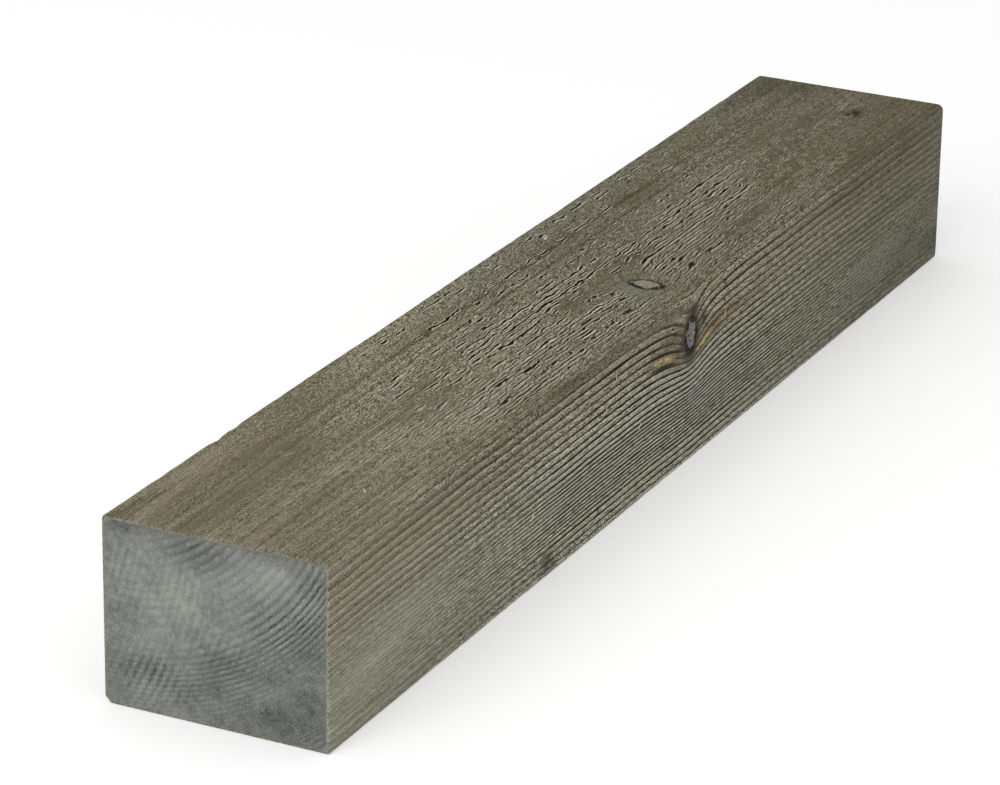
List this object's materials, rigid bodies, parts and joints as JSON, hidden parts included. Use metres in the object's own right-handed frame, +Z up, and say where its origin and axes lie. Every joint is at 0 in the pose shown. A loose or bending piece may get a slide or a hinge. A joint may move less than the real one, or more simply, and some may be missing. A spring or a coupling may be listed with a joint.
{
  "type": "sawn timber batten",
  "caption": "Short straight length of weathered, pressure-treated sawn softwood with a rectangular section, eased arrises and square-cut ends, for framing, battening or spacing.",
  "frame": {"origin": "middle of the lower face, on the surface that the timber lies on", "axes": "+X along the grain towards the far, blunted end; +Y across the width, away from the side with the knot; +Z up through the height"},
  "size_m": [0.32, 0.05, 0.04],
  "materials": {
    "weathered_softwood": "sawn, pressure treated and weathered grey, matt"
  },
  "bodies": {
    "root": {"sawn_timber": "weathered_softwood"}
  },
  "joints": []
}
